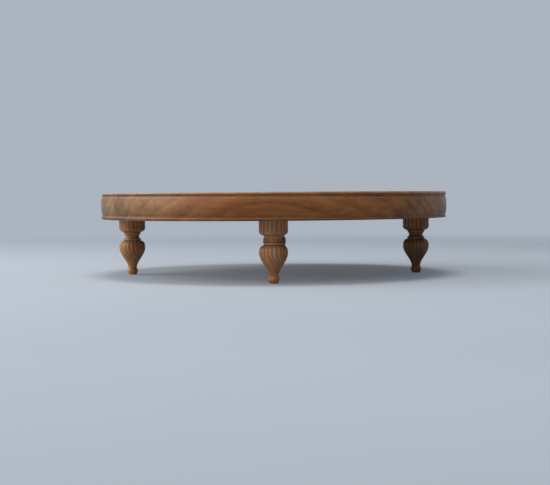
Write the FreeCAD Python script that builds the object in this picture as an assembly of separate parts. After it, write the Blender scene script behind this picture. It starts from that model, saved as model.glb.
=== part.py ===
import FreeCAD, Part
import math
import os

# Low round table: one turned plank on four turned and carved legs.
# Millimetres, +Z up. The origin is on the floor under the middle of the top.
# The front leg stands at -Y, and the grain of the top runs along X.

# Top, and how far in from its rim the middle of each leg stands
TOP_DIAMETER = 300.0
TOP_THICKNESS = 22.0
LEG_INSET = 25.5

# Edge moulding of the top: a swelling band between two round beads, each behind a narrow quirk. Depth and
# inset are measured in from the rim, and a bead rounds back as far as the floor of its quirk
TOP_BEAD_HEIGHT = 2.5
BOTTOM_BEAD_HEIGHT = 2.5
BEAD_INSET = 0.35
QUIRK_WIDTH = 1.2
QUIRK_DEPTH = 1.15
SWELL_RISE = 0.8

# Heights of the parts of a leg, stacked from the floor up to the underside of the top
TOE_CREST_HEIGHT = 3.5
TOE_CHEEK_HEIGHT = 1.9
ANKLE_HEIGHT = 0.9
TAPER_HEIGHT = 17.6
SHOULDER_HEIGHT = 5.8
COLLAR_HEIGHT = 2.2
NECK_HEIGHT = 3.3
RING_HEIGHT = 1.8
BLOCK_HEIGHT = 12.0

# Diameters along the leg, from the top down, and how high up the block its lower edge starts to slope in
BLOCK_DIAMETER = 22.7
BLOCK_EDGE_HEIGHT = 3.5
RING_DIAMETER = 14.6
NECK_DIAMETER = 11.9
NECK_END_DIAMETER = 13.2
COLLAR_DIAMETER = 15.2
SHOULDER_TOP_DIAMETER = 15.8
BULB_DIAMETER = 22.6
ANKLE_DIAMETER = 7.5
TOE_TOP_DIAMETER = 7.8
TOE_DIAMETER = 9.2
FOOT_DIAMETER = 6.5

# Fullness of the leg's curved outlines: how far each end of a curve runs on before it turns, as shares of
# that curve's own height and reach
BLOCK_EDGE_RUN = 0.51
BLOCK_EDGE_OUT = 0.43
BLOCK_EDGE_UP = 0.17
RING_RUN = 0.5
SHOULDER_RUN = 0.48
SHOULDER_CORNER_OUT = 0.74
SHOULDER_CORNER_DOWN = 0.08
TAPER_RUN = 0.38
ANKLE_RUN = 0.30
TOE_RUN = 0.35
FOOT_RUN = 0.45

# Carving: rounded reeds with a sharp groove on each side, straight on the block and swirled on the bulb
REED_COUNT = 20
REED_DEPTH = 0.6
RING_NOTCH_DEPTH = 0.3
ANKLE_REED_DEPTH = 0.08
GROOVE_ANGLE = -3.6
SWIRL_ANGLE = 120.0
SWIRL_START_BELOW_CREST = 0.8

# Blind joint of leg and top: a round tenon, spread from inside by a wedge that meets the mortise floor
TENON_DIAMETER = 12.0
TENON_CHAMFER = 0.8
TENON_UNCUT_HEIGHT = 4.0
GLUE_GAP = 0.05
MORTISE_COVER = 7.4
MORTISE_END_GAP = 0.6
WEDGE_TIP_THICKNESS = 0.9
WEDGE_HEAD_THICKNESS = 2.3
WEDGE_TIP_GAP = 0.3
WEDGE_SIDE_GAP = 0.8

# Where each leg stands, as an angle about the middle of the top
LEG_ANGLES = {"front": -90.0, "right": 0.0, "back": 90.0, "left": 180.0}

# Places that follow from the sizes
TOE_TOP_Z = TOE_CREST_HEIGHT + TOE_CHEEK_HEIGHT
ANKLE_Z = TOE_TOP_Z + ANKLE_HEIGHT
BULB_CREST_Z = ANKLE_Z + TAPER_HEIGHT
COLLAR_BOTTOM_Z = BULB_CREST_Z + SHOULDER_HEIGHT
NECK_BOTTOM_Z = COLLAR_BOTTOM_Z + COLLAR_HEIGHT
RING_BOTTOM_Z = NECK_BOTTOM_Z + NECK_HEIGHT
BLOCK_BOTTOM_Z = RING_BOTTOM_Z + RING_HEIGHT
UNDERSIDE_Z = BLOCK_BOTTOM_Z + BLOCK_HEIGHT
TOP_Z = UNDERSIDE_Z + TOP_THICKNESS
MORTISE_FLOOR_Z = TOP_Z - MORTISE_COVER
TENON_END_Z = MORTISE_FLOOR_Z - MORTISE_END_GAP
KERF_BOTTOM_Z = UNDERSIDE_Z + TENON_UNCUT_HEIGHT
WEDGE_TIP_Z = KERF_BOTTOM_Z + WEDGE_TIP_GAP
LEG_CIRCLE_RADIUS = TOP_DIAMETER / 2 - LEG_INSET
REED_PITCH = 360.0 / REED_COUNT

# Fineness of the carved surface: rings of the loft over the shoulder, and the most that the swirl may turn
# from one ring to the next, as a share of a reed's pitch
SHOULDER_STEPS = 4
SWIRL_STEP_SHARE = 0.4

# Working limits: corners closer than this are one corner, and a search by halving ends after so many rounds
SAME_CORNER = 1e-6
SEARCH_ROUNDS = 40

UP = FreeCAD.Vector(0, 0, 1)
ORIGIN = FreeCAD.Vector(0, 0, 0)


def section_point(radius, z):
    """A point of a turned outline, in the plane that holds the axis."""
    return FreeCAD.Vector(radius, 0, z)


def lines(*corners):
    """Straight edges through those corners of a turned outline. Corners that coincide need no edge."""
    points = [section_point(*corner) for corner in corners]
    pairs = zip(points, points[1:])
    apart = [(start, end) for start, end in pairs if not start.isEqual(end, SAME_CORNER)]
    return [Part.LineSegment(start, end).toShape() for start, end in apart]


def arc(start, middle, end):
    return Part.Arc(start, middle, end).toShape()


def curve(*corners):
    """A smooth edge of a turned outline, drawn by its control points."""
    edge = Part.BezierCurve()
    edge.setPoles([section_point(*corner) for corner in corners])
    return edge.toShape()


def turned(edges):
    """The solid that a closed outline sweeps round the Z axis."""
    face = Part.Face(Part.Wire(edges))
    return face.revolve(ORIGIN, UP, 360)


def cylinder(diameter, bottom_z, top_z):
    return Part.makeCylinder(diameter / 2, top_z - bottom_z, FreeCAD.Vector(0, 0, bottom_z), UP)


def bead(corner_radius, crest_radius, bottom_z, height):
    """The edge of a round bead, from its lower corner up."""
    return arc(
        section_point(corner_radius, bottom_z),
        section_point(crest_radius, bottom_z + height / 2),
        section_point(corner_radius, bottom_z + height),
    )


def make_top():
    """The turned plank with its edge moulding and a blind mortise over each leg."""
    rim = TOP_DIAMETER / 2
    bead_radius = rim - BEAD_INSET
    quirk_radius = rim - QUIRK_DEPTH
    swell_end_radius = rim - SWELL_RISE
    low_quirk_z = UNDERSIDE_Z + BOTTOM_BEAD_HEIGHT
    swell_bottom_z = low_quirk_z + QUIRK_WIDTH
    high_quirk_z = TOP_Z - TOP_BEAD_HEIGHT
    swell_top_z = high_quirk_z - QUIRK_WIDTH
    low_bead = bead(quirk_radius, bead_radius, UNDERSIDE_Z, BOTTOM_BEAD_HEIGHT)
    high_bead = bead(quirk_radius, bead_radius, high_quirk_z, TOP_BEAD_HEIGHT)
    swell = arc(
        section_point(swell_end_radius, swell_bottom_z),
        section_point(rim, (swell_bottom_z + swell_top_z) / 2),
        section_point(swell_end_radius, swell_top_z),
    )
    low_quirk = lines(
        (quirk_radius, low_quirk_z),
        (quirk_radius, swell_bottom_z),
        (swell_end_radius, swell_bottom_z),
    )
    high_quirk = lines(
        (swell_end_radius, swell_top_z),
        (quirk_radius, swell_top_z),
        (quirk_radius, high_quirk_z),
    )
    faces = lines((quirk_radius, TOP_Z), (0, TOP_Z), (0, UNDERSIDE_Z), (quirk_radius, UNDERSIDE_Z))
    plank = turned([low_bead, *low_quirk, swell, *high_quirk, high_bead, *faces])
    mortise = cylinder(TENON_DIAMETER + 2 * GLUE_GAP, UNDERSIDE_Z, MORTISE_FLOOR_Z)
    for angle in LEG_ANGLES.values():
        plank = plank.cut(at_leg(mortise, angle))
    return plank


def reeded_outline(radius, depth, turn, z):
    """A closed ring of rounded reeds that meet in sharp grooves, turned about the axis by an angle."""
    edges = []
    for reed in range(REED_COUNT):
        start = LEG_ANGLES["front"] + GROOVE_ANGLE + turn + reed * REED_PITCH
        edges.append(arc(
            polar_point(radius - depth, start, z),
            polar_point(radius, start + REED_PITCH / 2, z),
            polar_point(radius - depth, start + REED_PITCH, z),
        ))
    return Part.Wire(edges)


def reeded(envelope, radius, depth, bottom_z, height):
    """A turned shape with upright reeds cut into it wherever it reaches out to their grooves."""
    outline = reeded_outline(radius, depth, 0, bottom_z)
    return envelope.common(Part.Face(outline).extrude(UP * height))


def polar_point(radius, angle, z):
    a = math.radians(angle)
    return FreeCAD.Vector(radius * math.cos(a), radius * math.sin(a), z)


def bezier(points, t):
    """A point of the cubic curve with those four control points, each (radius, z)."""
    weights = ((1 - t) ** 3, 3 * t * (1 - t) ** 2, 3 * t ** 2 * (1 - t), t ** 3)
    radius = sum(w * p[0] for w, p in zip(weights, points))
    z = sum(w * p[1] for w, p in zip(weights, points))
    return radius, z


def make_block():
    """The reeded block under the top, whose lower edge slopes in to the ring."""
    radius = BLOCK_DIAMETER / 2
    ring_radius = RING_DIAMETER / 2
    edge_top_z = BLOCK_BOTTOM_Z + BLOCK_EDGE_HEIGHT
    sloped_edge = curve(
        (ring_radius, BLOCK_BOTTOM_Z),
        (
            ring_radius + BLOCK_EDGE_OUT * (radius - ring_radius),
            BLOCK_BOTTOM_Z + BLOCK_EDGE_UP * BLOCK_EDGE_HEIGHT,
        ),
        (radius, edge_top_z - BLOCK_EDGE_RUN * BLOCK_EDGE_HEIGHT),
        (radius, edge_top_z),
    )
    faces = lines(
        (radius, edge_top_z),
        (radius, UNDERSIDE_Z),
        (0, UNDERSIDE_Z),
        (0, BLOCK_BOTTOM_Z),
        (ring_radius, BLOCK_BOTTOM_Z),
    )
    return reeded(turned([sloped_edge, *faces]), radius, REED_DEPTH, BLOCK_BOTTOM_Z, BLOCK_HEIGHT)


def make_ring():
    """The swelling ring under the block, notched in line with the reeds."""
    radius = RING_DIAMETER / 2
    neck_radius = NECK_END_DIAMETER / 2
    swelling = curve(
        (neck_radius, RING_BOTTOM_Z),
        (radius, RING_BOTTOM_Z),
        (radius, BLOCK_BOTTOM_Z - RING_RUN * RING_HEIGHT),
        (radius, BLOCK_BOTTOM_Z),
    )
    faces = lines(
        (radius, BLOCK_BOTTOM_Z),
        (0, BLOCK_BOTTOM_Z),
        (0, RING_BOTTOM_Z),
        (neck_radius, RING_BOTTOM_Z),
    )
    return reeded(turned([swelling, *faces]), radius, RING_NOTCH_DEPTH, RING_BOTTOM_Z, RING_HEIGHT)


def make_neck():
    """The hollow neck and the half-round collar that seats on the bulb."""
    end_radius = NECK_END_DIAMETER / 2
    waist_z = (RING_BOTTOM_Z + NECK_BOTTOM_Z) / 2
    collar_corner = (COLLAR_DIAMETER - COLLAR_HEIGHT) / 2
    collar = bead(collar_corner, COLLAR_DIAMETER / 2, COLLAR_BOTTOM_Z, COLLAR_HEIGHT)
    ledge = lines((collar_corner, NECK_BOTTOM_Z), (end_radius, NECK_BOTTOM_Z))
    cove = arc(
        section_point(end_radius, NECK_BOTTOM_Z),
        section_point(NECK_DIAMETER / 2, waist_z),
        section_point(end_radius, RING_BOTTOM_Z),
    )
    faces = lines(
        (end_radius, RING_BOTTOM_Z),
        (0, RING_BOTTOM_Z),
        (0, COLLAR_BOTTOM_Z),
        (collar_corner, COLLAR_BOTTOM_Z),
    )
    return turned([collar, *ledge, cove, *faces])


def shoulder_curve():
    """Control points of the bulb's outline, from its widest part up to the collar."""
    crest = BULB_DIAMETER / 2
    top = SHOULDER_TOP_DIAMETER / 2
    return (
        (crest, BULB_CREST_Z),
        (crest, BULB_CREST_Z + SHOULDER_RUN * SHOULDER_HEIGHT),
        (
            top + SHOULDER_CORNER_OUT * (crest - top),
            COLLAR_BOTTOM_Z - SHOULDER_CORNER_DOWN * SHOULDER_HEIGHT,
        ),
        (top, COLLAR_BOTTOM_Z),
    )


def taper_curve():
    """Control points of the bulb's outline, from its widest part down to the ankle."""
    crest = BULB_DIAMETER / 2
    ankle = ANKLE_DIAMETER / 2
    return (
        (crest, BULB_CREST_Z),
        (crest, BULB_CREST_Z - TAPER_RUN * TAPER_HEIGHT),
        (ankle, ANKLE_Z + ANKLE_RUN * TAPER_HEIGHT),
        (ankle, ANKLE_Z),
    )


def taper_point_at(z):
    """The point of the taper at that height, found by halving."""
    outline = taper_curve()
    low, high = 0.0, 1.0
    for _ in range(SEARCH_ROUNDS):
        middle = (low + high) / 2
        if bezier(outline, middle)[1] > z:
            low = middle
        else:
            high = middle
    return bezier(outline, high)


def reed_depth_at(radius):
    """Reeds get shallower as the leg gets thinner, and all but fade out at the ankle."""
    thin = ANKLE_DIAMETER / 2
    share = (radius - thin) / (BULB_DIAMETER / 2 - thin)
    return ANKLE_REED_DEPTH + (REED_DEPTH - ANKLE_REED_DEPTH) * share


def make_bulb():
    """The bulb, lofted through reeded rings that turn further and further on the way to the ankle."""
    swirl_top_z = BULB_CREST_Z - SWIRL_START_BELOW_CREST
    swirl_height = swirl_top_z - ANKLE_Z
    swirl_steps = math.ceil(SWIRL_ANGLE / (SWIRL_STEP_SHARE * REED_PITCH))
    rings = []
    for step in range(SHOULDER_STEPS, -1, -1):
        rings.append((*bezier(shoulder_curve(), step / SHOULDER_STEPS), 0.0))
    for step in range(swirl_steps + 1):
        turned_share = step / swirl_steps
        radius, z = taper_point_at(swirl_top_z - swirl_height * math.sqrt(turned_share))
        rings.append((radius, z, SWIRL_ANGLE * turned_share))
    outlines = [reeded_outline(radius, reed_depth_at(radius), turn, z) for radius, z, turn in rings]
    return Part.makeLoft(outlines, True, False)


def make_toe():
    """The plain rounded toe below the ankle, flat where it stands on the floor."""
    ankle = ANKLE_DIAMETER / 2 - ANKLE_REED_DEPTH
    toe_top = TOE_TOP_DIAMETER / 2
    toe = TOE_DIAMETER / 2
    foot = FOOT_DIAMETER / 2
    lower_cheek = curve(
        (foot, 0),
        ((foot + toe) / 2, FOOT_RUN * TOE_CREST_HEIGHT),
        (toe, (1 - TOE_RUN) * TOE_CREST_HEIGHT),
        (toe, TOE_CREST_HEIGHT),
    )
    upper_cheek = curve(
        (toe, TOE_CREST_HEIGHT),
        (toe, TOE_CREST_HEIGHT + TOE_RUN * TOE_CHEEK_HEIGHT),
        ((toe + toe_top) / 2, TOE_TOP_Z - TOE_RUN * TOE_CHEEK_HEIGHT),
        (toe_top, TOE_TOP_Z),
    )
    faces = lines((toe_top, TOE_TOP_Z), (ankle, ANKLE_Z), (0, ANKLE_Z), (0, 0), (foot, 0))
    return turned([lower_cheek, upper_cheek, *faces])


def make_tenon():
    """The round tenon on top of the leg, with a tapered kerf that takes the wedge."""
    radius = TENON_DIAMETER / 2
    tenon = turned(lines(
        (0, UNDERSIDE_Z),
        (radius, UNDERSIDE_Z),
        (radius, TENON_END_Z - TENON_CHAMFER),
        (radius - TENON_CHAMFER, TENON_END_Z),
        (0, TENON_END_Z),
        (0, UNDERSIDE_Z),
    ))
    kerf = tapered_slab(KERF_BOTTOM_Z, TENON_DIAMETER, GLUE_GAP)
    return tenon.cut(kerf)


def wedge_thickness_at(z):
    """Thickness of the wedge at a height, taking its taper on past the tip."""
    share = (z - WEDGE_TIP_Z) / (MORTISE_FLOOR_Z - WEDGE_TIP_Z)
    return WEDGE_TIP_THICKNESS + (WEDGE_HEAD_THICKNESS - WEDGE_TIP_THICKNESS) * share


def tapered_slab(bottom_z, width, gap):
    """The wedge's taper from a height up to the mortise floor, grown by a gap on each face."""
    low = wedge_thickness_at(bottom_z) / 2 + gap
    high = wedge_thickness_at(MORTISE_FLOOR_Z) / 2 + gap
    corners = [(-low, bottom_z), (low, bottom_z), (high, MORTISE_FLOOR_Z), (-high, MORTISE_FLOOR_Z)]
    points = [FreeCAD.Vector(x, -width / 2, z) for x, z in corners]
    outline = Part.makePolygon(points + points[:1])
    return Part.Face(outline).extrude(FreeCAD.Vector(0, width, 0))


def make_leg():
    """One leg, turned and carved from a single piece."""
    pieces = [make_ring(), make_neck(), make_bulb(), make_toe(), make_tenon()]
    (leg,) = make_block().multiFuse(pieces).Solids
    return leg


def make_wedge():
    """The wedge inside the tenon. Its taper spreads the tenon along the grain of the top."""
    return tapered_slab(WEDGE_TIP_Z, TENON_DIAMETER - 2 * WEDGE_SIDE_GAP, 0)


def at_leg(shape, angle):
    """A copy of a shape, moved from the origin to the place of the leg at that angle."""
    placed = shape.copy()
    placed.translate(polar_point(LEG_CIRCLE_RADIUS, angle, 0))
    return placed


def main():
    os.makedirs("parts", exist_ok=True)
    nodes = {"table_top": make_top()}
    leg = make_leg()
    wedge = make_wedge()
    for name, angle in LEG_ANGLES.items():
        nodes["leg_" + name] = at_leg(leg, angle)
        nodes["wedge_" + name] = at_leg(wedge, angle)
    for name, shape in nodes.items():
        shape.exportStep(os.path.join("parts", name + ".step"))
        print(f"{name}: {shape.Volume:.1f} mm3, valid {shape.isValid()}")


main()
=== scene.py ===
import math

import bpy
import numpy as np
from mathutils import Matrix, Vector


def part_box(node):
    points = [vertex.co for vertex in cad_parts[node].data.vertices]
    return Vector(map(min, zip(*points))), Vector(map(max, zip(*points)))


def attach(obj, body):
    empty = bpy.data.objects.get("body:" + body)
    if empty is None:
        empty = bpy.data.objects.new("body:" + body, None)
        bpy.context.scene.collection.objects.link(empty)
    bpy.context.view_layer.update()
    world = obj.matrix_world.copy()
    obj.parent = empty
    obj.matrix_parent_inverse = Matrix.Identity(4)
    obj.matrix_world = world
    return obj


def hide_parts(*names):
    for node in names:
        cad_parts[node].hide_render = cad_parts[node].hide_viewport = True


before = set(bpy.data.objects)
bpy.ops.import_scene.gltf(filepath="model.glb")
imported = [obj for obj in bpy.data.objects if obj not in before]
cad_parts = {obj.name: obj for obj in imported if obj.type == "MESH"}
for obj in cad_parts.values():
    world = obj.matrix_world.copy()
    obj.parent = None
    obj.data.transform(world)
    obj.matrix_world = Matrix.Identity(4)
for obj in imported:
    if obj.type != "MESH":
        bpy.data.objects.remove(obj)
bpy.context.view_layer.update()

# Low round table: one turned plank on four turned and carved legs.
# Sizes are in millimetres and become metres in the meshes. The top's radius and height and the places
# of the legs come from the frame; the mouldings and the carving repeat the solids' own sizes.
MM = 0.001
SIDES = ("front", "right", "back", "left")

# Edge moulding of the top
TOP_BEAD_HEIGHT = 2.5
BOTTOM_BEAD_HEIGHT = 2.5
BEAD_INSET = 0.35
QUIRK_WIDTH = 1.2
QUIRK_DEPTH = 1.15
QUIRK_ROUND = 0.2
SWELL_RISE = 0.8
ARRIS_ROUND = 0.25

# The band between the quirks was turned slightly askew: its fall to the right, for each millimetre across
BAND_LEAN = 0.0057

# Heights up one leg
TOE_CREST_Z = 3.5
TOE_TOP_Z = 5.4
ANKLE_Z = 6.3
SWIRL_TOP_Z = 23.1
BULB_CREST_Z = 23.9
COLLAR_BOTTOM_Z = 29.7
NECK_BOTTOM_Z = 31.9
RING_BOTTOM_Z = 35.2
BLOCK_BOTTOM_Z = 37.0
BLOCK_EDGE_TOP_Z = 40.5

# Radii up one leg
FOOT_RADIUS = 3.25
TOE_RADIUS = 4.6
TOE_TOP_RADIUS = 3.9
ANKLE_RADIUS = 3.75
BULB_RADIUS = 11.3
SHOULDER_TOP_RADIUS = 7.9
COLLAR_RADIUS = 7.6
COLLAR_QUIRK_RADIUS = 6.5
NECK_END_RADIUS = 6.6
NECK_RADIUS = 5.95
RING_RADIUS = 7.3
BLOCK_RADIUS = 11.35
FOOT_ROUND = 0.5

# Fullness of the leg's curves, as shares of each curve's own height and reach
BLOCK_EDGE_RUN = 0.51
BLOCK_EDGE_OUT = 0.43
BLOCK_EDGE_UP = 0.17
RING_RUN = 0.5
SHOULDER_RUN = 0.48
SHOULDER_CORNER_OUT = 0.74
SHOULDER_CORNER_DOWN = 0.08
TAPER_RUN = 0.38
ANKLE_RUN = 0.30
TOE_RUN = 0.35
FOOT_RUN = 0.45

# Carving: reeds with a sharp groove on each side, straight on the block and swirled on the bulb
REED_COUNT = 20
REED_DEPTH = 0.6
RING_NOTCH_DEPTH = 0.3
ANKLE_REED_DEPTH = 0.08
REED_FULLNESS = 2.4
FRONT_ANGLE = -90.0
GROOVE_ANGLE = -3.6
SWIRL_ANGLE = 120.0
SWIRL_POWER = 2

# How uneven the hand carving is: degrees at a groove, and shares of its depth. A part of that is the same
# all along a groove, and the rest drifts along it at a pace, in radians for each millimetre
GROOVE_WANDER = 0.55
DEPTH_WANDER = 0.14
STEADY_PART = 0.6
WANDER_PACE = (0.1, 0.3)
FIRST_SEED = 11

# How much of its carved depth each leg has kept
DEPTH_LEFT = {"front": 1.0, "right": 1.0, "back": 1.0, "left": 0.6}

# Joint of leg and top, hidden inside the plank
TENON_RADIUS = 6.0
TENON_CHAMFER = 0.8
MORTISE_GAP = 0.05
MORTISE_END_GAP = 0.6
KERF_UNCUT = 4.0
KERF_GAP = 0.05
WEDGE_TAPER = 0.7
CUTTER_SPARE = 1.0

# Fineness of the meshes
TOP_SEGMENTS = 480
FACE_RADII = (12.0, 40.0, 70.0, 95.0, 115.0, 130.0, 140.0, 145.0, 147.5)
SWELL_STEPS = 18
BEAD_STEPS = 12
ROUND_STEPS = 6
TOE_STEPS = 10
FOOT_ROUND_STEPS = 2
FOOT_INNER_SHARE = 0.25
TAPER_STEPS = 54
SHOULDER_STEPS = 20
COVE_STEPS = 14
RING_STEPS = 10
BLOCK_EDGE_STEPS = 14
BLOCK_STEPS = 8
REED_STEPS = 14
MORTISE_SEGMENTS = 64
TOP_CREASE = 40.0
LEG_CREASE = 50.0

# How far a hollow or a crest of an outline stands from its own blurred line before it counts as full
BLUR_WIDTH = 0.8
FULL_HOLLOW = 0.22
FULL_CREST = 0.16

# Dirt and painted shade in the hollows, wear and painted highlight on the crests, against a full hollow or
# crest: painted shade on what leans down by the full share or more and on the bottom bead, the share of
# wear and highlight kept on the bottom bead, and both on the legs, where powers set how closely they keep
# to the grooves and the reeds' crests
UNDER_SHADE = 0.8
FULL_UNDER = 0.18
LOW_BEAD_SHADE = 1.4
LOW_BEAD_WEAR_AND_HIGHLIGHT = 0.15
LEG_DIRT_AND_SHADE = 1.3
LEG_WEAR_AND_HIGHLIGHT = 0.5
GROOVE_DIRT_AND_SHADE_POWER = 1.5
REED_WEAR_AND_HIGHLIGHT_POWER = 2

# How much the right end of the top shows its greyer end-grain tone, against the left end, where that tone
# is end grain and painted sheen of the light from the left
RIGHT_END_SHARE = 0.3

# Where each board was sawn from the trunk: how far along it, and how far from the pith across the grain
TOP_ALONG = 770.0
TOP_PITH = (18.0, 170.0)
LEG_PITH = 46.0
LEG_ALONG = (300.0, 3000.0)

# Figure of the wood: length along the grain, width across it, and detail and roughness of the noise
BEND = (240.0, 48.0, 1.0, 0.5)
RIPPLE = (70.0, 13.0, 1.0, 0.5)
BAND = (420.0, 13.0, 2.0, 0.5)
STREAK = (330.0, 20.0, 3.0, 0.55)
FINE_STREAK = (120.0, 3.2, 3.0, 0.6)
FIBRE = (26.0, 0.55, 2.0, 0.6)
PORE = (5.0, 0.34, 1.0, 0.5)
TINT = (260.0, 30.0, 2.0, 0.5)
PATCH = (9.0, 6.0, 3.0, 0.6)

# Growth of the trunk: how far it bends and ripples, and the width and middle darkness of one ring
BEND_REACH = 26.0
RIPPLE_REACH = 3.2
RING_WIDTH = 9.0
RING_MIDDLE = 0.4

# How much each figure darkens the wood, out of the whole range of its tones
RING_SHARE = 0.22
BAND_SHARE = 0.6
STREAK_SHARE = 0.8
FINE_STREAK_SHARE = 0.5
FIBRE_SHARE = 0.28

# Tones of the wood on that range: smaller is lighter. The legs' tones are wood tone and painted light and
# shade: lightest for the left leg, which faces the light, and darkest for the right leg, which stands in
# shade
TOP_TONE = 0.49
LEG_LIGHT_AND_SHADE_TONES = {"front": 0.30, "right": 0.76, "back": 0.45, "left": 0.24}
WEDGE_TONE = 0.3

# Pores: the noise above which early and late wood is open, how sharp the edge is and how dark they are
PORE_EDGES = (0.60, 0.69)
PORE_SHARPNESS = 14.0
PORE_SHARE = 0.45

# Tint, dirt and painted shade, and wear and painted highlight: two levels of their noise, and the shares of
# the colour at those levels
TINT_SPAN = (0.45, 0.7, 0.0, 0.35)
DIRT_AND_SHADE_SPAN = (0.25, 0.6, 0.08, 0.28)
WEAR_AND_HIGHLIGHT_SPAN = (0.3, 0.7, 0.2, 0.65)
END_SHARE = 0.8

# Roughness of plain wood, and what is added to it
WOOD_ROUGHNESS = 0.36
FIBRE_ROUGHNESS = 0.12
PORE_ROUGHNESS = 0.12
DIRT_AND_SHADE_ROUGHNESS = 0.25
WEAR_AND_HIGHLIGHT_ROUGHNESS = -0.1

# Fine texture of the surface: its depth and strength, and the share of each figure in it
TEXTURE_DEPTH = 0.12
TEXTURE_STRENGTH = 0.35
FIBRE_HEIGHT = 0.5
PORE_HEIGHT = -0.8
FINE_STREAK_HEIGHT = 0.4

# Polish: gloss of the wood, and strength and roughness of the wax over it
WOOD_GLOSS = 0.25
TOP_WAX = 0.05
LEG_WAX = 0.2
WAX_ROUGHNESS = 0.3

# Floor, in metres. It shows a share of the backdrop's glow near the table, and all of it far away
FLOOR_REACH = 8.0
FLOOR_FADE = (0.6, 1.2)
FLOOR_GLOW = 0.18
FLOOR_ROUGHNESS = 0.7
FLOOR_GLOSS = 0.15
CLOUDS_PER_METRE = 3.0
CLOUD_DETAIL = 4.0
CLOUD_ROUGHNESS = 0.5

# Lamps, in metres and watts, and the room's light as a share of what the backdrop shows
AIM = (0.0, 0.0, 0.05)
LAMP_SIZE = 0.8
LAMPS = (
    ("overhead", (-0.05, -0.1, 1.8), 16.2),
    ("left_back", (-1.17, 0.31, 0.75), 8.2),
    ("left", (-1.67, -0.29, 0.67), 6.6),
    ("left_front", (-1.34, -0.94, 0.81), 4.4),
    ("low_left", (-1.6, -0.75, 0.36), 4.4),
    ("front_left", (-0.44, -1.2, 1.32), 3.4),
    ("front_right", (0.44, -1.2, 1.32), 3.0),
)
ROOM_LEVEL = 0.25

# Camera, in metres and degrees, about level with the top
IMAGE_WIDTH = 550
SENSOR_WIDTH = 36.0
FOCAL_PIXELS = 1195.0
CAMERA_PLACE = (0.0037, -1.049, 0.0668)
CAMERA_PITCH = -2.163
CAMERA_YAW = 0.157
CAMERA_ROLL = -0.43


def linear(red, green, blue):
    """A colour written in 0 to 255, as the shader takes it."""
    channels = [value / 255 for value in (red, green, blue)]
    return [c / 12.92 if c <= 0.04045 else ((c + 0.055) / 1.055) ** 2.4 for c in channels] + [1.0]


def grey(level):
    """A grey as the shader takes it."""
    return (level, level, level, 1.0)


# Colours
WOOD_TONES = (
    (0.00, linear(182, 130, 78)),
    (0.30, linear(163, 107, 56)),
    (0.55, linear(142, 86, 38)),
    (0.78, linear(112, 63, 26)),
    (1.00, linear(74, 40, 18)),
)
RED_TINT = linear(146, 78, 36)
END_TONES = (
    (0.15, linear(137, 120, 88)),
    (0.50, linear(104, 89, 63)),
    (0.85, linear(64, 53, 37)),
)
# Colour of the pores, and of the dirt and painted shade in hollows and under the plank
DIRT_AND_SHADE_COLOUR = linear(44, 27, 17)
# Colour of the wear and painted highlight on crests
WORN_AND_HIGHLIT_COLOUR = linear(190, 156, 122)
STAGE_TONES = ((0.3, linear(178, 185, 194)), (0.7, linear(184, 191, 200)))
BACKDROP = linear(171, 180, 191)

# Darkness across one growth ring, from its early wood to its late wood
RING_TONES = (
    (0.00, grey(0.05)),
    (0.45, grey(0.25)),
    (0.86, grey(1.0)),
    (0.94, grey(0.8)),
    (1.00, grey(0.05)),
)


# Outlines, as points (radius, z)


def bezier(points, steps):
    """Points along the cubic curve with those four control points."""
    t = np.linspace(0, 1, steps + 1)[:, None]
    a, b, c, d = np.array(points, float)
    return (1 - t) ** 3 * a + 3 * t * (1 - t) ** 2 * b + 3 * t ** 2 * (1 - t) * c + t ** 3 * d


def bead(corner_radius, crest_radius, bottom, height):
    """Points up the round edge of a bead, from corner to corner."""
    rise = crest_radius - corner_radius
    arc_radius = (height ** 2 / 4 + rise ** 2) / (2 * rise)
    spread = 2 * math.atan(2 * rise / height)
    turns = np.linspace(-spread, spread, BEAD_STEPS + 1)
    return np.column_stack([
        crest_radius - arc_radius + arc_radius * np.cos(turns),
        bottom + height / 2 + arc_radius * np.sin(turns),
    ])


def rounded(corners):
    """The outline through corners (radius, z, rounding), with each inner corner rounded over."""
    outline = [corners[0][:2]]
    for before, corner, after in zip(corners, corners[1:], corners[2:]):
        outline.extend(rounded_corner(before, corner, after))
    outline.append(corners[-1][:2])
    return np.array(outline)


def rounded_corner(before, corner, after):
    """Points on the arc that rounds one corner, or the corner itself where it is sharp."""
    rounding = corner[2]
    point = np.array(corner[:2], float)
    if rounding == 0:
        return [point]
    back = np.array(before[:2]) - point
    ahead = np.array(after[:2]) - point
    room = min(np.linalg.norm(back), np.linalg.norm(ahead)) / 2
    back /= np.linalg.norm(back)
    ahead /= np.linalg.norm(ahead)
    half = math.acos(float(np.clip(back @ ahead, -1, 1))) / 2
    reach = min(rounding / math.tan(half), room)
    middle = point + (back + ahead) * reach / (2 * math.cos(half) ** 2)
    start = point + back * reach - middle
    end = point + ahead * reach - middle
    sweep = math.pi - 2 * half
    turns = np.linspace(0, 1, ROUND_STEPS + 1)
    return [
        middle + (math.sin((1 - t) * sweep) * start + math.sin(t * sweep) * end) / math.sin(sweep)
        for t in turns
    ]


def normals(outline):
    """The outward direction at each point of an outline."""
    tangent = np.gradient(outline, axis=0)
    outward = np.stack([tangent[:, 1], -tangent[:, 0]], 1)
    return outward / (np.linalg.norm(outward, axis=1, keepdims=True) + 1e-9)


def relief(outline):
    """How hollow and how proud each point of a turned outline is, from 0 to 1, against its blurred line."""
    steps = np.diff(outline, axis=0)
    along = np.concatenate([[0], np.cumsum(np.hypot(*steps.T))])
    share = np.gradient(along)
    weights = np.exp(-0.5 * ((along[:, None] - along[None, :]) / BLUR_WIDTH) ** 2) * share
    blurred = weights @ outline / weights.sum(1, keepdims=True)
    offset = ((blurred - outline) * normals(outline)).sum(1)
    return np.clip(offset / FULL_HOLLOW, 0, 1), np.clip(-offset / FULL_CREST, 0, 1)


# Meshes


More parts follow.
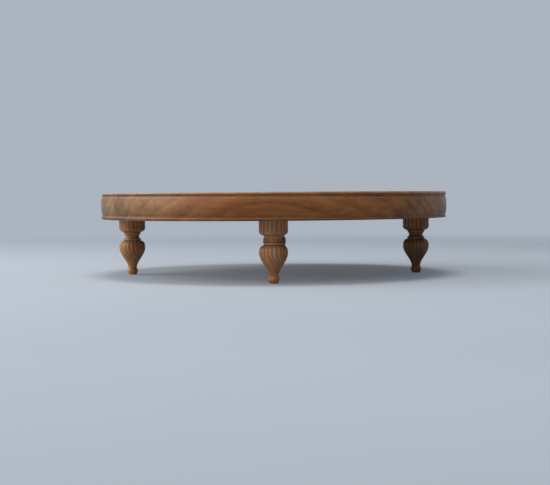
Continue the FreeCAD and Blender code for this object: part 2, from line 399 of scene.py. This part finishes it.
def skin(name, grid, low_pole, high_pole):
    """A closed mesh over rings of points, listed upwards, with one point at each end."""
    rings, segments, _ = grid.shape
    points = np.concatenate([grid.reshape(-1, 3), [low_pole, high_pole]]) * MM
    index = np.arange(rings * segments).reshape(rings, segments)
    ahead = np.roll(index, -1, axis=1)
    quads = np.stack([index[:-1], ahead[:-1], ahead[1:], index[1:]], -1).reshape(-1, 4)
    low, high = rings * segments, rings * segments + 1
    low_fan = [(low, b, a) for a, b in zip(index[0], ahead[0])]
    high_fan = [(high, a, b) for a, b in zip(index[-1], ahead[-1])]
    mesh = bpy.data.meshes.new(name)
    mesh.from_pydata(points.tolist(), [], quads.tolist() + low_fan + high_fan)
    piece = bpy.data.objects.new(name, mesh)
    bpy.context.scene.collection.objects.link(piece)
    return piece


def paint(piece, name, values):
    """Stores a number or a vector for each point of a mesh, for the material to read."""
    values = np.asarray(values, np.float32)
    is_vector = values.ndim == 2
    layer = piece.data.attributes.new(name, "FLOAT_VECTOR" if is_vector else "FLOAT", "POINT")
    layer.data.foreach_set("vector" if is_vector else "value", values.ravel())


def cut(piece, cutter):
    """Takes the cutter's shape out of a piece, and deletes the cutter."""
    modifier = piece.modifiers.new("cut", "BOOLEAN")
    modifier.operation = "DIFFERENCE"
    modifier.solver = "EXACT"
    modifier.object = cutter
    graph = bpy.context.evaluated_depsgraph_get()
    mesh = bpy.data.meshes.new_from_object(piece.evaluated_get(graph))
    piece.modifiers.clear()
    piece.data = mesh
    bpy.data.objects.remove(cutter)


def smooth(piece, crease):
    """Smooth shading, with an edge where two faces turn by more than an angle in degrees."""
    piece.data.polygons.foreach_set("use_smooth", [True] * len(piece.data.polygons))
    piece.data.set_sharp_from_angle(angle=math.radians(crease))


def place(piece, node, material):
    """The piece stands for a node of the frame and takes that material slot."""
    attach(piece, "root")
    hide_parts(node)
    wear(piece, material)


def wear(piece, material):
    """Gives a piece its one material."""
    piece.data.materials.clear()
    piece.data.materials.append(material)


def leg_middle(side):
    """The axis of a leg, in millimetres."""
    low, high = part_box("leg_" + side)
    return (low.x + high.x) / 2 / MM, (low.y + high.y) / 2 / MM


def top_box():
    """Radius, underside and upper face of the plank, in millimetres."""
    low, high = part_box("table_top")
    return (high.x - low.x) / 2 / MM, low.z / MM, high.z / MM


# Top


def top_outline(rim, underside, face):
    """The plank's outline, from the middle of its underside round the edge to the middle of its face."""
    crest = rim - BEAD_INSET
    quirk = rim - QUIRK_DEPTH
    low_quirk = underside + BOTTOM_BEAD_HEIGHT
    high_quirk = face - TOP_BEAD_HEIGHT
    swell_bottom = low_quirk + QUIRK_WIDTH
    swell_top = high_quirk - QUIRK_WIDTH
    corners = [(radius, underside, 0) for radius in FACE_RADII]
    corners += [(*point, 0) for point in bead(quirk, crest, underside, BOTTOM_BEAD_HEIGHT)]
    corners.append((quirk, swell_bottom, QUIRK_ROUND))
    for share in np.linspace(0, 1, SWELL_STEPS + 1):
        is_end = share in (0, 1)
        radius = rim - SWELL_RISE * (2 * share - 1) ** 2
        z = swell_bottom + (swell_top - swell_bottom) * share
        corners.append((radius, z, ARRIS_ROUND if is_end else 0))
    corners.append((quirk, swell_top, QUIRK_ROUND))
    corners += [(*point, 0) for point in bead(quirk, crest, high_quirk, TOP_BEAD_HEIGHT)]
    corners += [(radius, face, 0) for radius in reversed(FACE_RADII)]
    return rounded(corners)


def cylinder(middle, radius, bottom, top):
    """A plain round cutter."""
    angles = (np.arange(MORTISE_SEGMENTS) + 0.5) * 2 * math.pi / MORTISE_SEGMENTS
    ring = np.stack([middle[0] + radius * np.cos(angles), middle[1] + radius * np.sin(angles)], 1)
    grid = np.stack([np.column_stack([ring, np.full(len(ring), z)]) for z in (bottom, top)])
    return skin("cutter", grid, (*middle, bottom), (*middle, top))


def top_relief(outline, underside):
    """Dirt and painted shade, and wear and painted highlight, at each point of the plank's outline."""
    hollow, crest = relief(outline)
    outward, upward = normals(outline).T
    is_low_bead = outline[:, 1] < underside + BOTTOM_BEAD_HEIGHT
    # Painted shade on what leans down, the plank's underside too
    shade_below = UNDER_SHADE * np.clip(-upward / FULL_UNDER, 0, 1)
    # Painted shade over the outer face of the bottom bead
    bead_shade = LOW_BEAD_SHADE * is_low_bead * np.clip(outward, 0, 1)
    hollow = np.maximum(hollow, shade_below) + bead_shade
    # Wear and painted highlight only on crests that face up, and a small share of it on the bottom bead
    crest = crest * (upward > 0) * np.where(is_low_bead, LOW_BEAD_WEAR_AND_HIGHLIGHT, 1)
    return hollow, crest


def make_top(material):
    """The turned plank, with a blind mortise over each leg."""
    rim, underside, face = top_box()
    outline = top_outline(rim, underside, face)
    angles = np.linspace(0, 2 * math.pi, TOP_SEGMENTS, endpoint=False)
    across, back = np.cos(angles), np.sin(angles)
    radius, z = outline[:, :1], outline[:, 1:]
    over_low_bead = np.clip((z - underside) / BOTTOM_BEAD_HEIGHT, 0, 1)
    under_top_bead = np.clip((face - z) / TOP_BEAD_HEIGHT, 0, 1)
    fall = BAND_LEAN * (over_low_bead * under_top_bead) * radius * across
    grid = np.stack([radius * across, radius * back, z - fall], -1)
    poles = [(0, 0, underside), (0, 0, face)]
    piece = skin("top_plank", grid, *poles)
    hollow, crest = top_relief(outline, underside)
    outward = normals(outline)[:, :1]
    # Greyer end-grain tone at both ends; at the left end it is also painted sheen of the light from the
    # left
    end = (outward * across) ** 2 * np.where(across < 0, 1, RIGHT_END_SHARE)
    points = np.concatenate([grid.reshape(-1, 3), poles])
    paint(piece, "grain", points - np.array((TOP_ALONG, *TOP_PITH)))
    paint(piece, "hollow", np.append(np.repeat(hollow, TOP_SEGMENTS), (UNDER_SHADE, 0)))
    paint(piece, "crest", np.append(np.repeat(crest, TOP_SEGMENTS), (0, 0)))
    paint(piece, "end", np.append(end.ravel(), (0, 0)))
    mortise_radius = TENON_RADIUS + MORTISE_GAP
    mortise_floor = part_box("wedge_front")[1].z / MM
    for side in SIDES:
        cut(piece, cylinder(leg_middle(side), mortise_radius, underside - CUTTER_SPARE, mortise_floor))
    smooth(piece, TOP_CREASE)
    place(piece, "table_top", material)


# Legs, as rings (radius, z, reed depth, turn)


def rings_of(outline, depth=0.0, turn=0.0):
    """Rings along an outline. Depth and turn are one number, or one for each ring."""
    depths = np.broadcast_to(depth, len(outline))
    turns = np.broadcast_to(turn, len(outline))
    return np.column_stack([outline, depths, turns])


def toe_rings():
    """The plain toe and the ankle above it."""
    lower = bezier((
        (FOOT_RADIUS, 0),
        ((FOOT_RADIUS + TOE_RADIUS) / 2, FOOT_RUN * TOE_CREST_Z),
        (TOE_RADIUS, (1 - TOE_RUN) * TOE_CREST_Z),
        (TOE_RADIUS, TOE_CREST_Z),
    ), TOE_STEPS)
    cheek_height = TOE_TOP_Z - TOE_CREST_Z
    upper = bezier((
        (TOE_RADIUS, TOE_CREST_Z),
        (TOE_RADIUS, TOE_CREST_Z + TOE_RUN * cheek_height),
        ((TOE_RADIUS + TOE_TOP_RADIUS) / 2, TOE_TOP_Z - TOE_RUN * cheek_height),
        (TOE_TOP_RADIUS, TOE_TOP_Z),
    ), TOE_STEPS)
    foot = rounded([
        (FOOT_INNER_SHARE * FOOT_RADIUS, 0, 0),
        (FOOT_RADIUS, 0, FOOT_ROUND),
        (*lower[FOOT_ROUND_STEPS], 0),
    ])
    outline = np.concatenate([foot[:-1], lower[FOOT_ROUND_STEPS:], upper[1:]])
    return rings_of(outline, 0.0, SWIRL_ANGLE)


def reed_depth(radius):
    """Reeds get shallower as the leg gets thinner."""
    share = (radius - ANKLE_RADIUS) / (BULB_RADIUS - ANKLE_RADIUS)
    return ANKLE_REED_DEPTH + (REED_DEPTH - ANKLE_REED_DEPTH) * share


def bulb_rings():
    """The swirled bulb, from the ankle up to the collar."""
    taper_height = BULB_CREST_Z - ANKLE_Z
    taper = bezier((
        (ANKLE_RADIUS, ANKLE_Z),
        (ANKLE_RADIUS, ANKLE_Z + ANKLE_RUN * taper_height),
        (BULB_RADIUS, BULB_CREST_Z - TAPER_RUN * taper_height),
        (BULB_RADIUS, BULB_CREST_Z),
    ), TAPER_STEPS)
    height = COLLAR_BOTTOM_Z - BULB_CREST_Z
    shoulder = bezier((
        (BULB_RADIUS, BULB_CREST_Z),
        (BULB_RADIUS, BULB_CREST_Z + SHOULDER_RUN * height),
        (
            SHOULDER_TOP_RADIUS + SHOULDER_CORNER_OUT * (BULB_RADIUS - SHOULDER_TOP_RADIUS),
            COLLAR_BOTTOM_Z - SHOULDER_CORNER_DOWN * height,
        ),
        (SHOULDER_TOP_RADIUS, COLLAR_BOTTOM_Z),
    ), SHOULDER_STEPS)
    outline = np.concatenate([taper, shoulder[1:]])
    fallen = np.clip((SWIRL_TOP_Z - outline[:, 1]) / (SWIRL_TOP_Z - ANKLE_Z), 0, 1)
    return rings_of(outline, reed_depth(outline[:, 0]), SWIRL_ANGLE * fallen ** SWIRL_POWER)


def neck_rings():
    """The collar over the bulb and the hollow neck."""
    collar = bead(COLLAR_QUIRK_RADIUS, COLLAR_RADIUS, COLLAR_BOTTOM_Z, NECK_BOTTOM_Z - COLLAR_BOTTOM_Z)
    share = np.linspace(-1, 1, COVE_STEPS + 1)
    waist_z = (RING_BOTTOM_Z + NECK_BOTTOM_Z) / 2
    half_height = (RING_BOTTOM_Z - NECK_BOTTOM_Z) / 2
    cove = np.column_stack([
        NECK_RADIUS + (NECK_END_RADIUS - NECK_RADIUS) * share ** 2,
        waist_z + half_height * share,
    ])
    return rings_of(np.concatenate([collar, cove]))


def ring_rings():
    """The swelling ring under the block, notched in line with the reeds."""
    outline = bezier((
        (NECK_END_RADIUS, RING_BOTTOM_Z),
        (RING_RADIUS, RING_BOTTOM_Z),
        (RING_RADIUS, BLOCK_BOTTOM_Z - RING_RUN * (BLOCK_BOTTOM_Z - RING_BOTTOM_Z)),
        (RING_RADIUS, BLOCK_BOTTOM_Z),
    ), RING_STEPS)
    return rings_of(outline[1:], reached(outline[1:], RING_RADIUS, RING_NOTCH_DEPTH))


def reached(outline, radius, depth):
    """How deep upright grooves are where an outline only partly reaches out to them."""
    return np.clip(outline[:, 0] - (radius - depth), 0, depth)


def block_rings(underside):
    """The reeded block, whose grooves run out where its lower edge slopes in to the ring."""
    height = BLOCK_EDGE_TOP_Z - BLOCK_BOTTOM_Z
    edge = bezier((
        (RING_RADIUS, BLOCK_BOTTOM_Z),
        (
            RING_RADIUS + BLOCK_EDGE_OUT * (BLOCK_RADIUS - RING_RADIUS),
            BLOCK_BOTTOM_Z + BLOCK_EDGE_UP * height,
        ),
        (BLOCK_RADIUS, BLOCK_EDGE_TOP_Z - BLOCK_EDGE_RUN * height),
        (BLOCK_RADIUS, BLOCK_EDGE_TOP_Z),
    ), BLOCK_EDGE_STEPS)
    side_z = np.linspace(BLOCK_EDGE_TOP_Z, underside, BLOCK_STEPS + 1)[1:]
    side = np.column_stack([np.full(BLOCK_STEPS, BLOCK_RADIUS), side_z])
    outline = np.concatenate([edge, side])
    return rings_of(outline, reached(outline, BLOCK_RADIUS, REED_DEPTH))


def tenon_rings(underside, end):
    """The tenon on top of the leg, inside the plank."""
    return rings_of(np.array([
        (TENON_RADIUS, underside),
        (TENON_RADIUS, end - TENON_CHAMFER),
        (TENON_RADIUS - TENON_CHAMFER, end),
    ]))


def wander(rng, rings, scale):
    """A slow drift along the leg for each groove, so that no two grooves are cut alike."""
    level = rng.uniform(-1, 1, (REED_COUNT, 1))
    phase = rng.uniform(0, 2 * math.pi, (REED_COUNT, 1))
    pace = rng.uniform(*WANDER_PACE, (REED_COUNT, 1))
    drift = np.sin(phase + pace * rings[:, 1])
    return scale * (STEADY_PART * level + (1 - STEADY_PART) * drift)


def carve(rings, rng):
    """Radius and angle of every point on the carved rings, and how far across its groove each one lies."""
    turns = FRONT_ANGLE + GROOVE_ANGLE + rings[:, 3] + 360 / REED_COUNT * np.arange(REED_COUNT)[:, None]
    groove = (turns + wander(rng, rings, GROOVE_WANDER)).T[:, :, None]
    depth = (rings[:, 2] * (1 + wander(rng, rings, DEPTH_WANDER))).T[:, :, None]
    next_groove = np.roll(groove, -1, axis=1)
    next_groove[:, -1] += 360
    next_depth = np.roll(depth, -1, axis=1)
    across = 0.5 - 0.5 * np.cos(np.linspace(0, math.pi, REED_STEPS, endpoint=False))
    dip = np.abs(2 * across - 1) ** REED_FULLNESS
    angle = np.radians(groove + (next_groove - groove) * across)
    radius = rings[:, :1, None] - (depth + (next_depth - depth) * across) * dip
    count = len(rings)
    return radius.reshape(count, -1), angle.reshape(count, -1), np.tile(dip, REED_COUNT)


def carved_relief(rings, dip):
    """How hollow and how proud each point of a carved leg is, from its outline and from its reeds."""
    hollow, crest = (values[:, None] for values in relief(rings[:, :2]))
    carved = rings[:, 2:3] / REED_DEPTH
    # Dirt and painted shade in the reeds' grooves
    hollow = 1 - (1 - hollow) * (1 - carved * dip ** GROOVE_DIRT_AND_SHADE_POWER)
    # Wear and painted highlight on the reeds' crests
    crest = np.maximum(crest, carved * (1 - dip) ** REED_WEAR_AND_HIGHLIGHT_POWER) * (1 - hollow)
    return hollow, crest


def leg_grain(points, rng):
    """Where each point of a leg lay in the board that it was cut from, with the grain along the leg."""
    turn = rng.uniform(0, 2 * math.pi)
    x = points[:, 0] * math.cos(turn) - points[:, 1] * math.sin(turn)
    y = points[:, 0] * math.sin(turn) + points[:, 1] * math.cos(turn)
    along = points[:, 2] + rng.uniform(*LEG_ALONG)
    return np.column_stack([along, x + LEG_PITH, y])


def kerf_cutter(middle, side, underside, end):
    """The tapered saw kerf in a tenon, just wider than the wedge that fills it."""
    low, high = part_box("wedge_" + side)
    half_head = (high.x - low.x) / 2 / MM
    head_z = high.z / MM
    slope = WEDGE_TAPER / (head_z - low.z / MM)
    reach = TENON_RADIUS + CUTTER_SPARE
    corners = []
    for z in (underside + KERF_UNCUT, end + CUTTER_SPARE):
        half = half_head - slope * (head_z - z) + KERF_GAP
        corners.append([
            (middle[0] + x * half, middle[1] + y * reach, z)
            for x, y in ((1, -1), (1, 1), (-1, 1), (-1, -1))
        ])
    poles = [(*middle, corner[0][2]) for corner in corners]
    return skin("cutter", np.array(corners), *poles)


def make_leg(side, seed, material):
    """One leg, turned and carved, with its tenon and the kerf for the wedge."""
    rng = np.random.default_rng(seed)
    _, underside, _ = top_box()
    tenon_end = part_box("wedge_" + side)[1].z / MM - MORTISE_END_GAP
    rings = np.concatenate([
        toe_rings(),
        bulb_rings(),
        neck_rings(),
        ring_rings(),
        block_rings(underside),
        tenon_rings(underside, tenon_end),
    ])
    rings[:, 2] *= DEPTH_LEFT[side]
    radius, angle, dip = carve(rings, rng)
    x, y = leg_middle(side)
    z = np.broadcast_to(rings[:, 1:2], angle.shape)
    grid = np.stack([x + radius * np.cos(angle), y + radius * np.sin(angle), z], -1)
    poles = [(x, y, 0), (x, y, tenon_end)]
    piece = skin("carved_leg_" + side, grid, *poles)
    hollow, crest = carved_relief(rings, dip)
    points = np.concatenate([grid.reshape(-1, 3), poles])
    # Dirt and painted shade in the hollows, wear and painted highlight on the crests
    paint(piece, "hollow", np.append(LEG_DIRT_AND_SHADE * hollow.ravel(), (0, 0)))
    paint(piece, "crest", np.append(LEG_WEAR_AND_HIGHLIGHT * crest.ravel(), (0, 0)))
    end = np.repeat(normals(rings[:, :2])[:, 1] ** 2, angle.shape[1])
    paint(piece, "end", np.append(end, (1, 1)))
    paint(piece, "grain", leg_grain(points - np.array((x, y, 0)), rng))
    cut(piece, kerf_cutter((x, y), side, underside, tenon_end))
    smooth(piece, LEG_CREASE)
    place(piece, "leg_" + side, material)


# Materials


class Nodes:
    """Short ways to write a material's nodes."""

    def __init__(self, name, kind=bpy.data.materials, shader="Principled BSDF"):
        self.made = kind.new(name)
        self.made.use_nodes = True
        self.tree = self.made.node_tree
        self.shader = self.tree.nodes[shader]

    def node(self, kind, *values, **settings):
        made = self.tree.nodes.new(kind)
        for key, value in settings.items():
            setattr(made, key, value)
        for socket, value in zip(made.inputs, values):
            self.give(socket, value)
        return made

    def give(self, socket, value):
        if isinstance(value, bpy.types.NodeSocket):
            self.tree.links.new(value, socket)
        else:
            socket.default_value = value

    def math(self, operation, a, b=0.0, clamp=False):
        return self.node("ShaderNodeMath", a, b, operation=operation, use_clamp=clamp).outputs[0]

    def vector(self, operation, a, b):
        return self.node("ShaderNodeVectorMath", a, b, operation=operation).outputs[0]

    def total(self, first, *others):
        for other in others:
            first = self.math("ADD", first, other)
        return first

    def times(self, a, b):
        return self.math("MULTIPLY", a, b)

    def swing(self, value, share, middle=0.5):
        """A value's distance from its middle, times a share."""
        return self.times(self.math("SUBTRACT", value, middle), share)

    def span(self, value, low, high, to_low, to_high):
        """Maps low..high to to_low..to_high, smoothly and clamped."""
        ends = (value, low, high, to_low, to_high)
        return self.node("ShaderNodeMapRange", *ends, interpolation_type="SMOOTHSTEP").outputs[0]

    def noise(self, vector, detail, roughness):
        made = self.node("ShaderNodeTexNoise")
        self.give(made.inputs["Vector"], vector)
        made.inputs["Scale"].default_value = 1.0
        made.inputs["Detail"].default_value = detail
        made.inputs["Roughness"].default_value = roughness
        return made.outputs

    def figure(self, point, shape):
        """Noise drawn out along the grain, to a length along it and a width across it."""
        length, width, detail, roughness = shape
        stretched = self.vector("MULTIPLY", point, (1 / length, 1 / width, 1 / width))
        return self.noise(stretched, detail, roughness)

    def ramp(self, value, stops):
        made = self.node("ShaderNodeValToRGB", value)
        elements = made.color_ramp.elements
        while len(elements) < len(stops):
            elements.new(0.5)
        for element, (position, colour) in zip(elements, stops):
            element.position = position
            element.color = colour
        return made.outputs["Color"]

    def blend(self, share, a, b):
        made = self.node("ShaderNodeMix", data_type="RGBA")
        colours = [socket for socket in made.inputs if socket.type == "RGBA"]
        for socket, value in zip((made.inputs["Factor"], *colours), (share, a, b)):
            self.give(socket, value)
        return [socket for socket in made.outputs if socket.type == "RGBA"][0]

    def attribute(self, name):
        return self.node("ShaderNodeAttribute", attribute_name=name).outputs


def growth(n, point):
    """Distance from the pith, bent as the trunk was."""
    for shape, reach in ((BEND, BEND_REACH), (RIPPLE, RIPPLE_REACH)):
        drift = n.figure(point, shape)["Color"]
        drift = n.vector("SUBTRACT", drift, (0.5, 0.5, 0.5))
        point = n.vector("ADD", point, n.vector("MULTIPLY", drift, (0, reach, reach)))
    across = n.vector("MULTIPLY", point, (0, 1, 1))
    return n.node("ShaderNodeVectorMath", across, operation="LENGTH").outputs["Value"]


def wood(name, tone, wax, point, hollow, crest, end):
    """Waxed wood: the figure and pores of a solid board, with dirt and painted shade in hollows and wear
    and painted highlight on crests.
    """
    n = Nodes(name)
    point, hollow, crest, end = point(n), hollow(n), crest(n), end(n)
    distance = growth(n, point)
    ring = n.ramp(n.math("FRACT", n.math("DIVIDE", distance, RING_WIDTH)), RING_TONES)
    along = n.node("ShaderNodeSeparateXYZ", point).outputs["X"]
    trunk = n.node("ShaderNodeCombineXYZ", along, distance, 0.0).outputs[0]
    band = n.figure(trunk, BAND)["Fac"]
    streak = n.figure(point, STREAK)["Fac"]
    fine_streak = n.figure(point, FINE_STREAK)["Fac"]
    fibre = n.figure(point, FIBRE)["Fac"]
    pore_edge = n.span(ring, 0.0, 1.0, *PORE_EDGES)
    pore_noise = n.figure(point, PORE)["Fac"]
    pore = n.math("MULTIPLY", n.math("SUBTRACT", pore_noise, pore_edge), PORE_SHARPNESS, clamp=True)
    tone = n.total(
        tone,
        n.swing(ring, RING_SHARE, RING_MIDDLE),
        n.swing(band, BAND_SHARE),
        n.swing(streak, STREAK_SHARE),
        n.swing(fine_streak, FINE_STREAK_SHARE),
        n.swing(fibre, FIBRE_SHARE),
    )
    tint = n.figure(point, TINT)["Fac"]
    patch = n.figure(point, PATCH)["Fac"]
    # Dirt and painted shade in the hollows, wear and painted highlight on the crests
    grime_and_shade = n.times(hollow, n.span(patch, *DIRT_AND_SHADE_SPAN))
    rubbed_and_highlit = n.times(crest, n.span(patch, *WEAR_AND_HIGHLIGHT_SPAN))
    colour = n.ramp(tone, WOOD_TONES)
    colour = n.blend(n.span(tint, *TINT_SPAN), colour, RED_TINT)
    colour = n.blend(n.times(end, END_SHARE), colour, n.ramp(tone, END_TONES))
    colour = n.blend(n.times(pore, PORE_SHARE), colour, DIRT_AND_SHADE_COLOUR)
    colour = n.blend(grime_and_shade, colour, DIRT_AND_SHADE_COLOUR)
    colour = n.blend(rubbed_and_highlit, colour, WORN_AND_HIGHLIT_COLOUR)
    roughness = n.total(
        WOOD_ROUGHNESS,
        n.times(fibre, FIBRE_ROUGHNESS),
        n.times(pore, PORE_ROUGHNESS),
        n.times(grime_and_shade, DIRT_AND_SHADE_ROUGHNESS),
        n.times(rubbed_and_highlit, WEAR_AND_HIGHLIGHT_ROUGHNESS),
    )
    height = n.total(
        n.times(fibre, FIBRE_HEIGHT),
        n.times(pore, PORE_HEIGHT),
        n.times(fine_streak, FINE_STREAK_HEIGHT),
    )
    bump = n.node("ShaderNodeBump")
    bump.inputs["Strength"].default_value = TEXTURE_STRENGTH
    bump.inputs["Distance"].default_value = TEXTURE_DEPTH * MM
    n.give(bump.inputs["Height"], height)
    n.give(n.shader.inputs["Base Color"], colour)
    n.give(n.shader.inputs["Roughness"], roughness)
    n.give(n.shader.inputs["Normal"], bump.outputs["Normal"])
    n.shader.inputs["Specular IOR Level"].default_value = WOOD_GLOSS
    n.shader.inputs["Coat Weight"].default_value = wax
    n.shader.inputs["Coat Roughness"].default_value = WAX_ROUGHNESS
    return n.made


def painted(name, output):
    """Reads what a mesh stores for each of its points."""
    return lambda n: n.attribute(name)[output]


def carved_wood(name, tone, wax):
    """Wood of a piece that stores its grain, hollows, crests and end grain."""
    stored = [painted(layer, "Fac") for layer in ("hollow", "crest", "end")]
    return wood(name, tone, wax, painted("grain", "Vector"), *stored)


def upright_grain(n):
    """The grain of a piece that stands upright, read from where it is."""
    parts = n.node("ShaderNodeSeparateXYZ", n.node("ShaderNodeTexCoord").outputs["Object"]).outputs
    turned = n.node("ShaderNodeCombineXYZ", parts["Z"], parts["X"], parts["Y"]).outputs[0]
    return n.vector("MULTIPLY", turned, (1 / MM, 1 / MM, 1 / MM))


def nothing(_):
    """No hollow, crest or end grain."""
    return 0.0


def seen(n):
    """One for rays from the camera, in a reflection or through glass, and nothing for light that falls."""
    rays = n.node("ShaderNodeLightPath").outputs
    looks = [rays[name] for name in ("Is Camera Ray", "Is Glossy Ray", "Is Transmission Ray")]
    return n.math("MINIMUM", n.total(*looks), 1.0)


def plaster():
    """The floor: pale and faintly clouded, fading into the backdrop, and clear from below."""
    n = Nodes("plaster")
    where = n.node("ShaderNodeTexCoord").outputs["Object"]
    scaled = n.vector("MULTIPLY", where, (CLOUDS_PER_METRE,) * 3)
    clouds = n.noise(scaled, CLOUD_DETAIL, CLOUD_ROUGHNESS)["Fac"]
    n.give(n.shader.inputs["Base Color"], n.ramp(clouds, STAGE_TONES))
    n.shader.inputs["Roughness"].default_value = FLOOR_ROUGHNESS
    n.shader.inputs["Specular IOR Level"].default_value = FLOOR_GLOSS
    distance = n.node("ShaderNodeVectorMath", where, operation="LENGTH").outputs["Value"]
    far = n.times(n.span(distance, *FLOOR_FADE, FLOOR_GLOW, 1.0), seen(n))
    backdrop = n.node("ShaderNodeEmission", BACKDROP, 1.0).outputs[0]
    faded = n.node("ShaderNodeMixShader", far, n.shader.outputs[0], backdrop).outputs[0]
    is_below = n.node("ShaderNodeNewGeometry").outputs["Backfacing"]
    clear = n.node("ShaderNodeBsdfTransparent").outputs[0]
    one_sided = n.node("ShaderNodeMixShader", is_below, faded, clear).outputs[0]
    n.give(n.tree.nodes["Material Output"].inputs["Surface"], one_sided)
    return n.made


# Stage, light and camera


def make_stage():
    """A pale floor that reaches out of sight."""
    corners = [(x * FLOOR_REACH, y * FLOOR_REACH, 0.0) for x, y in ((-1, -1), (1, -1), (1, 1), (-1, 1))]
    mesh = bpy.data.meshes.new("floor")
    mesh.from_pydata(corners, [], [(0, 1, 2, 3)])
    floor = bpy.data.objects.new("floor", mesh)
    bpy.context.scene.collection.objects.link(floor)
    wear(floor, plaster())


def softbox(name, place_at, power):
    """A soft square lamp turned to the table."""
    lamp = bpy.data.lights.new(name, "AREA")
    lamp.size = LAMP_SIZE
    lamp.energy = power
    holder = bpy.data.objects.new(name, lamp)
    holder.location = place_at
    holder.rotation_euler = (Vector(AIM) - Vector(place_at)).to_track_quat("-Z", "Y").to_euler()
    holder.visible_camera = False
    bpy.context.scene.collection.objects.link(holder)


def make_light():
    """The lamps and the light of the room."""
    for lamp in LAMPS:
        softbox(*lamp)
    room_light(ROOM_LEVEL)


def room_light(level):
    """A pale backdrop all round, which gives a lower level of light than it shows."""
    n = Nodes("room", bpy.data.worlds, "Background")
    n.give(n.shader.inputs["Color"], BACKDROP)
    n.give(n.shader.inputs["Strength"], n.math("ADD", level, n.times(seen(n), 1.0 - level)))
    bpy.context.scene.world = n.made


def make_camera():
    """The camera, at the photo's viewing angle."""
    lens = bpy.data.cameras.new("camera")
    lens.sensor_fit = "HORIZONTAL"
    lens.sensor_width = SENSOR_WIDTH
    lens.lens = SENSOR_WIDTH * FOCAL_PIXELS / IMAGE_WIDTH
    camera = bpy.data.objects.new("camera", lens)
    turn = Matrix.Rotation(math.radians(CAMERA_YAW), 4, "Z")
    turn = turn @ Matrix.Rotation(math.radians(90 + CAMERA_PITCH), 4, "X")
    turn = turn @ Matrix.Rotation(math.radians(CAMERA_ROLL), 4, "Z")
    camera.matrix_world = Matrix.Translation(CAMERA_PLACE) @ turn
    bpy.context.scene.collection.objects.link(camera)
    bpy.context.scene.camera = camera


make_top(carved_wood("top_wood", TOP_TONE, TOP_WAX))
wedge_wood = wood("wedge_wood", WEDGE_TONE, 0.0, upright_grain, nothing, nothing, nothing)
# Each leg gets its own copy of the wood, lighter or darker by painted light and shade
for seed, side in enumerate(SIDES, FIRST_SEED):
    make_leg(side, seed, carved_wood("leg_wood_" + side, LEG_LIGHT_AND_SHADE_TONES[side], LEG_WAX))
    wear(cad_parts["wedge_" + side], wedge_wood)
make_stage()
make_light()
make_camera()
bpy.context.scene.view_settings.view_transform = "Standard"

bpy.context.view_layer.update()
